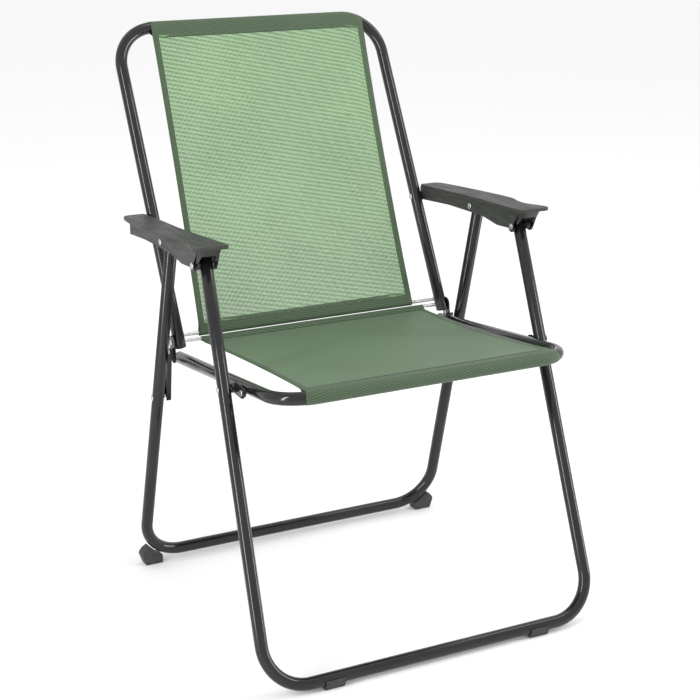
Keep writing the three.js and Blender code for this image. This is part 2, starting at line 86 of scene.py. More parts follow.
BACK_X = 222.0
SEAT_X = 222.0
FRONT_FOOT_X, FRONT_TOP_X = 260.0, 248.0
REAR_FOOT_X, REAR_TOP_X = 257.0, 251.0
FRONT_BAR = (-309.6, 12.5)
REAR_BAR = (171.8, 15.8)
BACK_TILT = math.radians(28.4)
BACK_TOP_RISE = 308.5
BACK_BEND = 62.0
SEAT_TILT = math.radians(6.8)
SEAT_TUBE_DROP = 24.3
SEAT_FRONT_Y = -285.0
SEAT_END_Y = 76.7
SEAT_BEND = 50.0
LEG_BEND = 62.0
FRONT_LEG_PAST = 10.5       # each leg tube's length past its top rivet
REAR_LEG_PAST = 6.0
ROD_ABOVE_AXLE = 9.1        # the back sling's rod, up the back tube from the seat's rear axle
ROD_BEHIND_TUBE = 2.6       # and behind the tube's axis
BACK_END_DROP = 7.4         # the back tube's ends, down the tube from the axle

BACK_UP = Vector((0, math.sin(BACK_TILT), math.cos(BACK_TILT)))
BACK_FACE = Vector((0, -math.cos(BACK_TILT), math.sin(BACK_TILT)))
SEAT_FORWARD = Vector((0, -math.cos(SEAT_TILT), math.sin(SEAT_TILT)))
SEAT_FACE = Vector((0, math.sin(SEAT_TILT), math.cos(SEAT_TILT)))


def at(x, place):
    return Vector((x, place[0], place[1]))


def along_back(rise):
    """The back tube's axis, a distance up the tube from the armrest's pivot."""
    return at(0, ARM_BACK) + BACK_UP * rise


def seat_axis(y):
    """The seat tube's axis at y."""
    drop = SEAT_TUBE_DROP
    start_y = SEAT_REAR[0] + drop * math.sin(SEAT_TILT)
    start_z = SEAT_REAR[1] - drop * math.cos(SEAT_TILT)
    return Vector((0, y, start_z - (y - start_y) * math.tan(SEAT_TILT)))


def across(x, point):
    return Vector((x, point.y, point.z))


# ------------------------------------------------------------------ mesh makers
def finish_mesh(name, mesh, material):
    piece = bpy.data.objects.new(name, mesh)
    bpy.context.scene.collection.objects.link(piece)
    mesh.materials.append(material)
    for face in mesh.polygons:
        face.use_smooth = True
    return piece


def grid_mesh(name, rows, material, round_rows=False, uv=None):
    """A skin over rows of points. round_rows closes each row on itself."""
    count = len(rows[0])
    points = [tuple(point * MM) for row in rows for point in row]
    spans = count if round_rows else count - 1
    faces = []
    for i in range(len(rows) - 1):
        for j in range(spans):
            k = (j + 1) % count
            faces.append((i * count + j, i * count + k, (i + 1) * count + k, (i + 1) * count + j))
    mesh = bpy.data.meshes.new(name)
    mesh.from_pydata(points, [], faces)
    if uv:
        layer = mesh.uv_layers.new(name="UVMap")
        for loop in mesh.loops:
            i, j = divmod(loop.vertex_index, count)
            layer.data[loop.index].uv = uv(i, j)
    return finish_mesh(name, mesh, material)


def close_outwards(piece):
    """Points every face out of a closed piece."""
    mesh = piece.data
    work = bmesh.new()
    work.from_mesh(mesh)
    bmesh.ops.remove_doubles(work, verts=work.verts, dist=1e-7)
    bmesh.ops.recalc_face_normals(work, faces=work.faces)
    work.to_mesh(mesh)
    work.free()


def soften(piece, width, segments=3, angle=35):
    bevel = piece.modifiers.new("soft edges", "BEVEL")
    bevel.width = width * MM
    bevel.segments = segments
    bevel.limit_method = "ANGLE"
    bevel.angle_limit = math.radians(angle)
    bevel.harden_normals = True


def outline_mesh(name, outline, shift, material, bevel):
    """A flat outline of points, made solid along the vector shift, with soft edges."""
    work = bmesh.new()
    ring = [work.verts.new(point * MM) for point in outline]
    face = work.faces.new(ring)
    grown = bmesh.ops.extrude_face_region(work, geom=[face])
    moved = [item for item in grown["geom"] if isinstance(item, bmesh.types.BMVert)]
    bmesh.ops.translate(work, verts=moved, vec=shift * MM)
    bmesh.ops.recalc_face_normals(work, faces=work.faces)
    mesh = bpy.data.meshes.new(name)
    work.to_mesh(mesh)
    work.free()
    piece = finish_mesh(name, mesh, material)
    soften(piece, bevel)
    return piece


def bent_path(corners, radius, steps=20):
    """Points along straight runs joined by round bends."""
    points = [corners[0]]
    for before, corner, after in zip(corners, corners[1:], corners[2:]):
        arriving = (corner - before).normalized()
        leaving = (after - corner).normalized()
        turn = arriving.angle(leaving)
        inward = (leaving - arriving * leaving.dot(arriving)).normalized()
        centre = corner - arriving * (radius * math.tan(turn / 2)) + inward * radius
        for i in range(steps + 1):
            angle = turn * i / steps
            ahead = arriving * (radius * math.sin(angle))
            aside = inward * (radius * math.cos(angle))
            points.append(centre + ahead - aside)
    points.append(corners[-1])
    return points


def tangents(points):
    ends = [points[0]] + points + [points[-1]]
    return [(ends[i + 2] - ends[i]).normalized() for i in range(len(points))]


def tube(name, path, radius, material, sides=40):
    """A round tube along a flat path, with open ends that show the wall's thickness."""
    directions = tangents(path)
    normal = directions[0].cross(directions[len(directions) // 2]).normalized()

    def ring(centre, direction, size):
        other = direction.cross(normal)
        angles = [2 * math.pi * j / sides for j in range(sides)]
        return [centre + (normal * math.cos(a) + other * math.sin(a)) * size for a in angles]

    depth = 14.0
    lip = 0.25
    inner = radius - WALL
    first, last = directions[0], directions[-1]
    rows = [[path[0] + first * depth] * sides]
    rows.append(ring(path[0] + first * depth, first, inner))
    rows.append(ring(path[0], first, inner))
    rows.append(ring(path[0], first, radius - lip))
    rows.append(ring(path[0] + first * lip, first, radius))
    rows += [ring(point, way, radius) for point, way in zip(path[1:-1], directions[1:-1])]
    rows.append(ring(path[-1] - last * lip, last, radius))
    rows.append(ring(path[-1], last, radius - lip))
    rows.append(ring(path[-1], last, inner))
    rows.append(ring(path[-1] - last * depth, last, inner))
    rows.append([path[-1] - last * depth] * sides)
    piece = grid_mesh(name, rows, material, round_rows=True)
    close_outwards(piece)
    return piece


def lathe(name, profile, origin, axis, material, sides=32):
    """Turns a profile of (radius, distance along the axis) round the axis."""
    up = axis.normalized()
    side = up.orthogonal().normalized()
    other = up.cross(side)
    rows = []
    for radius, distance in profile:
        centre = origin + up * distance
        angles = [2 * math.pi * j / sides for j in range(sides)]
        rows.append([centre + (side * math.cos(a) + other * math.sin(a)) * radius for a in angles])
    piece = grid_mesh(name, rows, material, round_rows=True)
    close_outwards(piece)
    return piece


def stand_in(piece, node):
    """piece shows in place of a CAD node, and moves with it."""
    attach(piece, BODY_OF[node])
    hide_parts(node)
    return piece


# ------------------------------------------------------------------ materials
class Nodes:
    """Short names for building one material's node tree."""

    def __init__(self, name, **settings):
        self.material = bpy.data.materials.new(name)
        self.material.use_nodes = True
        self.tree = self.material.node_tree
        self.shader = self.tree.nodes["Principled BSDF"]
        for socket, value in settings.items():
            self.shader.inputs[socket.replace("_", " ")].default_value = value

    def add(self, kind, **inputs):
        node = self.tree.nodes.new(kind)
        for socket, value in inputs.items():
            self.feed(node.inputs[socket.replace("_", " ")], value)
        return node

    def feed(self, socket, value):
        if isinstance(value, bpy.types.NodeSocket):
            self.tree.links.new(value, socket)
        else:
            socket.default_value = value

    def math(self, operation, first, second=0.0, third=0.0):
        node = self.tree.nodes.new("ShaderNodeMath")
        node.operation = operation
        for socket, value in zip(node.inputs, (first, second, third)):
            self.feed(socket, value)
        return node.outputs[0]

    def place(self, stretch=(1, 1, 1)):
        """The point on the object, stretched per axis."""
        where = self.tree.nodes.new("ShaderNodeTexCoord").outputs["Object"]
        mapping = self.add("ShaderNodeMapping", Vector=where, Scale=stretch)
        return mapping.outputs["Vector"]

    def noise(self, scale, detail=3.0, stretch=(1, 1, 1)):
        node = self.add("ShaderNodeTexNoise", Vector=self.place(stretch), Scale=scale, Detail=detail)
        return node.outputs["Fac"]

    def ramp(self, value, low, high, low_at=0.35, high_at=0.65):
        """Maps a value onto two numbers or two colours."""
        node = self.add("ShaderNodeValToRGB", Fac=value)
        for stop, place, end in zip(node.color_ramp.elements, (low_at, high_at), (low, high)):
            stop.position = place
            stop.color = end if isinstance(end, tuple) else (end, end, end, 1)
        return node.outputs["Color"]

    def bump(self, height, depth, strength=1.0):
        node = self.add("ShaderNodeBump", Height=height, Distance=depth * MM, Strength=strength)
        self.feed(self.shader.inputs["Normal"], node.outputs["Normal"])

    def set(self, socket, value):
        self.feed(self.shader.inputs[socket], value)


def black_paint():
    """Gloss black powder coat: faint orange peel, and duller where hands and floors rub."""
    nodes = Nodes("black_paint", Specular_IOR_Level=0.44)
    rubbed = nodes.noise(14, detail=6)
    nodes.set("Base Color", nodes.ramp(rubbed, (0.006, 0.006, 0.007, 1), (0.011, 0.011, 0.012, 1)))
    nodes.set("Roughness", nodes.ramp(rubbed, 0.10, 0.18))
    nodes.bump(nodes.noise(420, detail=2), 0.05, 0.35)
    return nodes.material


def grey_plastic():
    """Moulded armrest plastic, with a long fine grain and a few scuffs."""
    nodes = Nodes("grey_plastic", Specular_IOR_Level=0.25)
    grain = nodes.noise(60, detail=5, stretch=(9, 0.6, 9))
    scuffs = nodes.noise(35, detail=8, stretch=(3, 0.5, 3))
    nodes.set("Base Color", nodes.ramp(grain, (0.030, 0.029, 0.028, 1), (0.052, 0.051, 0.050, 1)))
    nodes.set("Roughness", nodes.ramp(scuffs, 0.42, 0.58))
    nodes.bump(grain, 0.18, 0.5)
    return nodes.material


def black_plastic():
    """Matte black feet, washers and plugs, dusty in patches."""
    nodes = Nodes("black_plastic", Specular_IOR_Level=0.4)
    dust = nodes.noise(90, detail=6)
    nodes.set("Base Color", nodes.ramp(dust, (0.020, 0.020, 0.020, 1), (0.045, 0.044, 0.042, 1)))
    nodes.set("Roughness", nodes.ramp(dust, 0.5, 0.7))
    nodes.bump(nodes.noise(700, detail=3), 0.06, 0.5)
    return nodes.material


def zinc_steel():
    """Zinc-plated rivets and rods, lightly streaked and spotted."""
    nodes = Nodes("zinc_steel", Metallic=0.95)
    streaks = nodes.noise(220, detail=6, stretch=(1, 3, 3))
    nodes.set("Base Color", nodes.ramp(streaks, (0.42, 0.42, 0.43, 1), (0.66, 0.66, 0.67, 1)))
    nodes.set("Roughness", nodes.ramp(streaks, 0.24, 0.42))
    nodes.bump(nodes.noise(900, detail=2), 0.04, 0.4)
    return nodes.material


WARP_PITCH = 0.0021
WEFT_PITCH = 0.0017
RIB_SLOPE = -0.24


def green_mesh(name, light, dark, yarn_share, rib_pitch, rib_share):
    """Open plain weave of coated yarn. Holes, yarns and ribs come from the UV, which is in metres."""
    nodes = Nodes(name, Roughness=0.55, Specular_IOR_Level=0.25, Sheen_Weight=0.08)
    uv = nodes.tree.nodes.new("ShaderNodeUVMap")
    uv.uv_map = "UVMap"
    split = nodes.add("ShaderNodeSeparateXYZ", Vector=uv.outputs["UV"])
    across_cloth, along_cloth = split.outputs["X"], split.outputs["Y"]
    hill, turn = [], []
    for place, pitch in ((across_cloth, WARP_PITCH), (along_cloth, WEFT_PITCH)):
        turns = nodes.math("DIVIDE", place, pitch)
        off_middle = nodes.math("ABSOLUTE", nodes.math("SUBTRACT", nodes.math("FRACT", turns), 0.5))
        hill.append(nodes.math("SUBTRACT", 1.0, nodes.math("DIVIDE", off_middle, yarn_share / 2)))
        turn.append(nodes.math("FLOOR", turns))
    solid = nodes.math("GREATER_THAN", nodes.math("MAXIMUM", *hill), 0.0)
    # at each crossing the two sets of yarn pass over each other by turns
    over = nodes.math("PINGPONG", nodes.math("ADD", *turn), 1.0)
    under = nodes.math("SUBTRACT", 1.0, over)
    warp = nodes.math("MULTIPLY", nodes.math("MAXIMUM", hill[0], 0.0), nodes.math("ADD", over, 0.6))
    weft = nodes.math("MULTIPLY", nodes.math("MAXIMUM", hill[1], 0.0), nodes.math("ADD", under, 0.6))
    height = nodes.math("SQRT", nodes.math("MAXIMUM", warp, weft))
    # the weave's faint ribs run a little downhill from left to right
    climb = nodes.math("MULTIPLY_ADD", across_cloth, RIB_SLOPE, along_cloth)
    rib = nodes.math("PINGPONG", nodes.math("DIVIDE", climb, rib_pitch / 2), 1.0)
    faded = nodes.math("MULTIPLY", nodes.noise(9, detail=5), 1.0 - rib_share)
    shade = nodes.math("MULTIPLY_ADD", rib, rib_share, faded)
    nodes.set("Base Color", nodes.ramp(shade, dark, light, low_at=0.3, high_at=0.7))
    nodes.set("Alpha", solid)
    nodes.bump(height, 0.12, 0.6)
    return nodes.material


def green_thread():
    nodes = Nodes("green_thread", Roughness=0.6, Sheen_Weight=0.3)
    twist = nodes.noise(1500, detail=2)
    nodes.set("Base Color", nodes.ramp(twist, (0.045, 0.078, 0.038, 1), (0.085, 0.135, 0.072, 1)))
    nodes.bump(twist, 0.08)
    return nodes.material


PAINT = black_paint()
ARM_PLASTIC = grey_plastic()
BLACK_PLASTIC = black_plastic()
ZINC = zinc_steel()
# the back panel's yarn is painted brighter and greener than the seat's: painted light shining through the
# cloth from behind
BACK_MESH_PAINTED_LIGHT = green_mesh(
    "green_mesh_back_painted_light", (0.190, 0.360, 0.140, 1), (0.075, 0.150, 0.060, 1),
    yarn_share=0.54, rib_pitch=0.0068, rib_share=0.6,
)
# the seat's yarn is painted darker than the back's, as painted shade: the same cloth, not lit through from
# below
SEAT_MESH_PAINTED_SHADE = green_mesh(
    "green_mesh_seat_painted_shade", (0.096, 0.162, 0.084, 1), (0.078, 0.136, 0.069, 1),
    yarn_share=0.82, rib_pitch=0.0034, rib_share=0.3,
)
# the sleeves and side hems are painted darker still: partly the hems' own darker green, partly painted
# shade on the sleeves wrapped round the bars
FOLDED_MESH_DARK_AND_PAINTED_SHADE = green_mesh(
    "green_mesh_folded", (0.074, 0.118, 0.064, 1), (0.034, 0.058, 0.031, 1),
    yarn_share=0.84, rib_pitch=0.0036, rib_share=0.75,
)
THREAD = green_thread()
MATERIAL_OF = {
    "black_paint": PAINT,
    "grey_plastic": ARM_PLASTIC,
    "black_plastic": BLACK_PLASTIC,
    "zinc_steel": ZINC,
    "green_mesh": FOLDED_MESH_DARK_AND_PAINTED_SHADE,
}


# ------------------------------------------------------------------ tubes
def past_top(foot, top, extra):
    """The place past a leg's top rivet where its tube ends."""
    length = math.hypot(top[0] - foot[0], top[1] - foot[1])
    return [t + (t - f) * extra / length for f, t in zip(foot, top)]


def splay(foot_x, top_x, foot, top, z):
    return foot_x + (top_x - foot_x) * (z - foot[1]) / (top[1] - foot[1])


def front_leg_x(z):
    return splay(FRONT_FOOT_X, FRONT_TOP_X, FRONT_BAR, ARM_FRONT, z)


def rear_leg_x(z):
    return splay(REAR_FOOT_X, REAR_TOP_X, REAR_BAR, ARM_REAR, z)


def u_path(end_x, end, bar_x, bar, radius):
    corners = [across(-end_x, end), across(-bar_x, bar), across(bar_x, bar), across(end_x, end)]
    return bent_path(corners, radius)


SEAT_REAR_RISE = (at(0, SEAT_REAR) - at(0, ARM_BACK)).dot(BACK_UP)
BACK_BAR = along_back(BACK_TOP_RISE)
BACK_ROD = along_back(SEAT_REAR_RISE + ROD_ABOVE_AXLE) - BACK_FACE * ROD_BEHIND_TUBE
SEAT_BAR = seat_axis(SEAT_FRONT_Y)
BACK_END = along_back(SEAT_REAR_RISE - BACK_END_DROP)
SEAT_END = seat_axis(SEAT_END_Y)


def frame_tubes():
    front_end = at(0, past_top(FRONT_BAR, ARM_FRONT, FRONT_LEG_PAST))
    rear_end = at(0, past_top(REAR_BAR, ARM_REAR, REAR_LEG_PAST))
    paths = {
        "front_leg_tube": u_path(
            front_leg_x(front_end.z), front_end, FRONT_FOOT_X, at(0, FRONT_BAR), LEG_BEND
        ),
        "rear_leg_tube": u_path(
            rear_leg_x(rear_end.z), rear_end, REAR_FOOT_X, at(0, REAR_BAR), LEG_BEND
        ),
        "back_frame_tube": u_path(BACK_X, BACK_END, BACK_X, BACK_BAR, BACK_BEND),
        "seat_frame_tube": u_path(SEAT_X, SEAT_END, SEAT_X, SEAT_BAR, SEAT_BEND),
    }
    for node, path in paths.items():
        stand_in(tube(f"{node}_round", path, TUBE_R, PAINT), node)


# ------------------------------------------------------------------ rods, rivets and washers
def head(start, way, radius):
    """Half a pin's profile, from its domed head inwards. way is -1 for the low end."""
    steps = 7
    dome = []
    for i in range(steps + 1):
        angle = math.pi / 2 * i / steps
        dome.append((HEAD_R * math.sin(angle), start + way * (0.3 + (HEAD_H - 0.3) * math.cos(angle))))
    return dome + [(HEAD_R, start), (radius, start)]


def pin(node, place, side, ends, radius=RIVET_R, heads=(True, True), material=ZINC):
    """A rod along X with a domed head on each end that has one."""
    low = head(ends[0], -1, radius) if heads[0] else [(0, ends[0]), (radius, ends[0])]
    high = head(ends[1], 1, radius) if heads[1] else [(0, ends[1]), (radius, ends[1])]
    profile = low + high[::-1]
    piece = lathe(f"{node}_round", profile, at(0, place), Vector((side, 0, 0)), material)
    soften(piece, 0.15, segments=2, angle=50)
    return stand_in(piece, node)


def washer(node, place, side, start, end, radius):
    hole = RIVET_R + PIN_PLAY
    profile = [(hole, start), (radius, start), (radius, end), (hole, end), (hole, start)]
    piece = lathe(f"{node}_round", profile, at(0, place), Vector((side, 0, 0)), BLACK_PLASTIC)
    soften(piece, 0.4)
    return stand_in(piece, node)


def fastenings():
    inner_face, outer_face = BACK_X - TUBE_R, BACK_X + TUBE_R
    leg_face = front_leg_x(BRACKET_RIVET[1]) + TUBE_R
    rear_face = rear_leg_x(LINK_FOOT[1]) + TUBE_R
    arm_span = (INNER_SKIRT[0] - GAP, OUTER_SKIRT[1] + GAP)
    for name, s in SIDES:
        pin(f"armrest_front_rivet_{name}", ARM_FRONT, s, arm_span)
        pin(f"armrest_rear_rivet_{name}", ARM_REAR, s, arm_span)
        pin(f"armrest_back_rivet_{name}", ARM_BACK, s, (inner_face - GAP, INNER_SKIRT[1] + GAP))
        pin(f"bracket_rivet_{name}", BRACKET_RIVET, s, (BRACKET[0] - GAP, leg_face + GAP))
        pin(f"seat_front_rivet_{name}", SEAT_FRONT, s, (inner_face - GAP, BRACKET[1] + GAP))
        ends = (SEAT_PLATE[0] + GAP, LINK_WEB[1] + GAP)
        pin(f"link_top_rivet_{name}", LINK_TOP, s, ends, heads=(False, True))
        ends = (rear_face - 2 * TUBE_R + GAP, rear_face + GAP)
        pin(f"rear_leg_rivet_{name}", LINK_FOOT, s, ends, heads=(False, True))
        pin(f"link_pin_{name}", LINK_FOOT, s, (LINK_WEB[0] - GAP, LINK_EDGE), heads=(True, False))
        start = outer_face + GAP
        washer(f"armrest_washer_{name}", ARM_BACK, s, start, INNER_SKIRT[0] - GAP, 7.0)
        washer(f"seat_front_washer_{name}", SEAT_FRONT, s, start, BRACKET[0] - GAP, 6.5)
    axle_end = SEAT_PLATE[1] + GAP
    pin("seat_axle", SEAT_REAR, 1, (-axle_end, axle_end), radius=ROD_R)
    rod = (BACK_ROD.y, BACK_ROD.z)
    pin("back_lower_rod", rod, 1, (-outer_face, outer_face), radius=ROD_R, heads=(False, False))


def plug(node, x, end, out):
    stem = TUBE_R - WALL - 0.2
    rim, rise, steps = 1.2, 2.6, 8
    dome = []
    for i in range(steps + 1):
        angle = math.pi / 2 * i / steps
        dome.append((TUBE_R * math.cos(angle), rim + rise * math.sin(angle)))
    profile = [(0, -4.5), (stem, -4.5), (stem, 0.2), (TUBE_R, 0.2)] + dome
    stand_in(lathe(f"{node}_round", profile, across(x, end), out, BLACK_PLASTIC), node)


def tube_plugs():
    for name, s in SIDES:
        plug(f"back_tube_plug_{name}", s * BACK_X, BACK_END, -BACK_UP)
        plug(f"seat_tube_plug_{name}", s * SEAT_X, SEAT_END, -SEAT_FORWARD)


# ------------------------------------------------------------------ armrests
ARM_FRONT_Y, ARM_REAR_Y = -137.0, 173.0
ARM_SHEET = 5.0
ARM_WALL = 2.8
OUTER_WALL_REAR_Y = 143.0
NOSE_RADIUS = 10.0
NOSE_BACK = 16.7
NOSE_ARCH_Z = 568.0         # the nose wall's lower edge in the middle, and beside it
NOSE_LOW_Z = 557.0
WALL_LAP = 3                # of the walls' upper edge into the top
BOSS_R = 6
BOSS_END = OUTER_SKIRT[0] + 0.5


def arm_top_z(y):
    return 564.7 + (162.8 - y) * 0.0622


def smooth_through(points, steps):
    """A smooth curve through the points (Catmull-Rom)."""
    padded = [points[0] * 2 - points[1]] + points + [points[-1] * 2 - points[-2]]
    curve = []
    for a, b, c, d in zip(padded, padded[1:], padded[2:], padded[3:]):
        for i in range(steps):
            t = i / steps
            straight = 2 * b + (c - a) * t
            bend = (2 * a - 5 * b + 4 * c - d) * t**2
            twist = (3 * b - a - 3 * c + d) * t**3
            curve.append(0.5 * (straight + bend + twist))
    return curve + [points[-1]]


def arc(centre, radius, start, end, steps=6):
    """Points round a centre in a plane, from one angle to another in degrees."""
    points = []
    for i in range(steps + 1):
        angle = math.radians(start + (end - start) * i / steps)
        points.append(Vector((centre[0] + radius * math.cos(angle), centre[1] + radius * math.sin(angle))))
    return points


def arm_outline():
    """The armrest's top from above: straight inside, an S outside, round corners."""
    outside = smooth_through(
        [Vector(p) for p in ((277.5, -122), (269.5, -88), (271.5, -61), (279, -34), (280.5, 4),
                             (278.5, 56), (275, 117), (271, 157))],
        6,
    )
    inside = smooth_through(
        [Vector(p) for p in ((235.0, 168), (234, 115), (235, 30), (232, -50), (227.5, -118))], 5
    )
    front_inner = arc((233.5, ARM_FRONT_Y + 6), 6, 180, 270)
    front_outer = arc((270, ARM_FRONT_Y + 7.5), 7.5, 270, 355)
    rear_outer = arc((258, ARM_REAR_Y - 12), 12, 0, 90)
    rear_inner = arc((240, ARM_REAR_Y - 5), 5, 90, 180)
    return inside + front_inner + front_outer + outside + rear_outer + rear_inner


def arm_top(name, s):
    outline = [Vector((s * p.x, p.y, arm_top_z(p.y))) for p in arm_outline()]
    shift = Vector((0, 0, -ARM_SHEET))
    return outline_mesh(f"armrest_top_{name}", outline, shift, ARM_PLASTIC, bevel=1.3)


def wall_low_z(y):
    """The side walls' lower edge: shallow at the back, a lobe round the front rivet."""
    lobe = 8.4
    ahead = y - ARM_FRONT[0]
    if abs(ahead) < lobe * 0.9:
        return ARM_FRONT[1] - math.sqrt(lobe**2 - ahead**2)
    stops = ((-200, 557), (-109.5, 557), (-108.4, 547.6), (-93.2, 547.7), (-62, 545.5), (-18, 551),
             (80, 548.1), (167, 540.8), (180, 540.8))
    for (y0, z0), (y1, z1) in zip(stops, stops[1:]):
        if y0 <= y <= y1:
            return z0 + (z1 - z0) * (y - y0) / (y1 - y0)
    return stops[-1][1]


def arm_wall_path():
    """Stations round the walls: the outer face's x, its upper and lower y, and the way out of it."""
    nose_y = ARM_FRONT_Y + 3
    corner_y = nose_y + NOSE_RADIUS
    x0, x1 = INNER_SKIRT[0], OUTER_SKIRT[1]

    def side(x, rear, outwards, count=64):
        stations = []
        for i in range(count):
            t = 1 - (1 - i / count) ** 1.6
            upper = rear + (corner_y - rear) * t
            lower = rear + (corner_y + NOSE_BACK - rear) * t
            stations.append((x, upper, lower, Vector((outwards, 0, 0))))
        return stations

    nose = []
    for centre_x, start in ((x0 + NOSE_RADIUS, 180), (x1 - NOSE_RADIUS, 270)):
        for point in arc((centre_x, corner_y), NOSE_RADIUS, start, start + 90):
            out = Vector((point.x - centre_x, point.y - corner_y, 0)).normalized()
            nose.append((point.x, point.y, point.y + NOSE_BACK, out))
    inner = side(x0, ARM_REAR_Y - 3, -1)
    outer = side(x1, OUTER_WALL_REAR_Y, 1)
    return inner + nose + outer[::-1]


def arm_walls(name, s):
    """The walls under the top: a U from above, whose nose leans back towards its lower edge."""
    nose_end = ARM_FRONT_Y + 3 + NOSE_RADIUS + NOSE_BACK
    steps = 6
    rows = []
    for x, upper_y, lower_y, out in arm_wall_path():
        low_z = NOSE_LOW_Z if lower_y <= nose_end else wall_low_z(lower_y)
        if out.y < -0.8:
            low_z = NOSE_ARCH_Z
            lower_y = upper_y + NOSE_BACK / 2
        upper = Vector((x, upper_y, arm_top_z(upper_y) - WALL_LAP))
        lower = Vector((x, lower_y, low_z))
        outer = [upper.lerp(lower, j / steps) for j in range(steps + 1)]
        inner = [point - out * ARM_WALL for point in reversed(outer)]
        rows.append([Vector((s * point.x, point.y, point.z)) for point in outer + inner])
    rows = [middle_of(rows[0])] + rows + [middle_of(rows[-1])]
    piece = grid_mesh(f"armrest_walls_{name}", rows, ARM_PLASTIC, round_rows=True)
    close_outwards(piece)
    soften(piece, 0.5, segments=2, angle=50)
    return piece


def middle_of(row):
    """A row gathered at its middle point, which closes a skin's end."""
    centre = sum(row, Vector()) / len(row)
    return [centre] * len(row)


def arm_boss(name, place, start, s):
    hole = RIVET_R + PIN_PLAY
    profile = [(hole, start), (BOSS_R, start), (BOSS_R, BOSS_END), (hole, BOSS_END)]
    return lathe(name, profile, at(0, place), Vector((s, 0, 0)), ARM_PLASTIC)


def armrests():
    for name, s in SIDES:
        node = f"armrest_{name}"
        stand_in(arm_top(name, s), node)
        details = [
            arm_walls(name, s),
            arm_boss(f"armrest_front_boss_{name}", ARM_FRONT, FRONT_TOP_X + TUBE_R + 1, s),
            arm_boss(f"armrest_rear_boss_{name}", ARM_REAR, REAR_TOP_X + TUBE_R + 1, s),
        ]
        for piece in details:
            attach(piece, BODY_OF[node])


# ------------------------------------------------------------------ feet
def front_foot(name, s):
    """A pad clipped under the front bar, flat on the floor, with a grip groove in its sole."""
    inner_end, length = 149, 30
    shell = FRONT_BAR[1] - 1.2
    half_sole, groove, depth = 7.0, 1.2, 0.8
    y, z = FRONT_BAR
    right = arc(FRONT_BAR, shell, 12, -35, 8)
    left = arc(FRONT_BAR, shell, 215, 168, 8)
    sole = [Vector(p) for p in ((y + half_sole, 0), (y + groove, 0), (y + groove / 2, depth),
                                (y - groove / 2, depth), (y - groove, 0), (y - half_sole, 0))]
    saddle = arc(FRONT_BAR, TUBE_R + 0.3, 168, 372, 24)
    outline = [Vector((s * inner_end, p.x, p.y)) for p in right + sole + left + saddle]
    shift = Vector((s * length, 0, 0))
    piece = outline_mesh(f"front_foot_{name}_shape", outline, shift, BLACK_PLASTIC, bevel=0.7)
    stand_in(piece, f"front_foot_{name}")


def rear_foot(name, s):
    """A boot under the rear leg's bend, flaring outwards above its sole."""
    sole = [(229, 13), (229, 1.5), (230.5, 0), (256.5, 0), (258, 1.5)]
    flare = [(263, 16), (262, 19), (258, 24.5), (250, 29.5)]
    saddle = [(243, 22), (236, 15.5)]
    depth = 20
    rear_y = REAR_BAR[0] + 11
    outline = [Vector((s * x, rear_y, z)) for x, z in sole + flare + saddle]
    shift = Vector((0, -depth, 0))
    piece = outline_mesh(f"rear_foot_{name}_shape", outline, shift, BLACK_PLASTIC, bevel=1.6)
    stand_in(piece, f"rear_foot_{name}")


# ------------------------------------------------------------------ slings
CLOTH = 0.35                # one layer's thickness
CLOTH_LIFT = 0.7 * CLOTH    # from a bar's surface to the middle of the cloth round it
SEAM_EDGE = 4.5             # of cloth past a seam
HEM = 9.5                   # side hems' width
HEM_START, HEM_RUN = 0.03, 0.94    # of the panel's length
BAR_SEAM = 16.0             # from where the panel leaves the bar to the sleeve's seam
BAR_WRAP = 16               # faces of a column before the panel, round the bar and along its seam
STITCH = 3.4
STITCH_GAP = 1.2
STITCH_RINGS = 5
STITCH_SIDES = 6
THREAD_R = 0.32


def bar_at(x, bar, straight, radius, outward):
    """The centre of a frame tube's bar at x and the way outwards there, bends included."""
    over = max(0.0, abs(x) - straight)
    drop = radius - math.sqrt(radius**2 - over**2)
    lean = math.asin(over / radius)
    away = Vector((math.copysign(math.sin(lean), x), 0, 0)) + outward * math.cos(lean)
    return across(x, bar - outward * drop), away


def wrap(centre, face, away, radius, down, seam, steps=14, hang=0.0):
    """Cloth from where it first touches a bar, round the far side and back to its seam and hem edge."""
    tangent = math.atan2(seam, radius)
    sweep = 2 * math.pi - 2 * tangent
    points = []
    for i in range(steps + 1):
        angle = sweep * i / steps
        reach = radius + max(0.0, hang * math.sin(angle))
        points.append(centre + face * (radius * math.cos(angle)) + away * (reach * math.sin(angle)))
    start = points[0] - face * CLOTH
    points.append(start + down * seam)
    points.append(start + down * (seam + SEAM_EDGE))
    return points


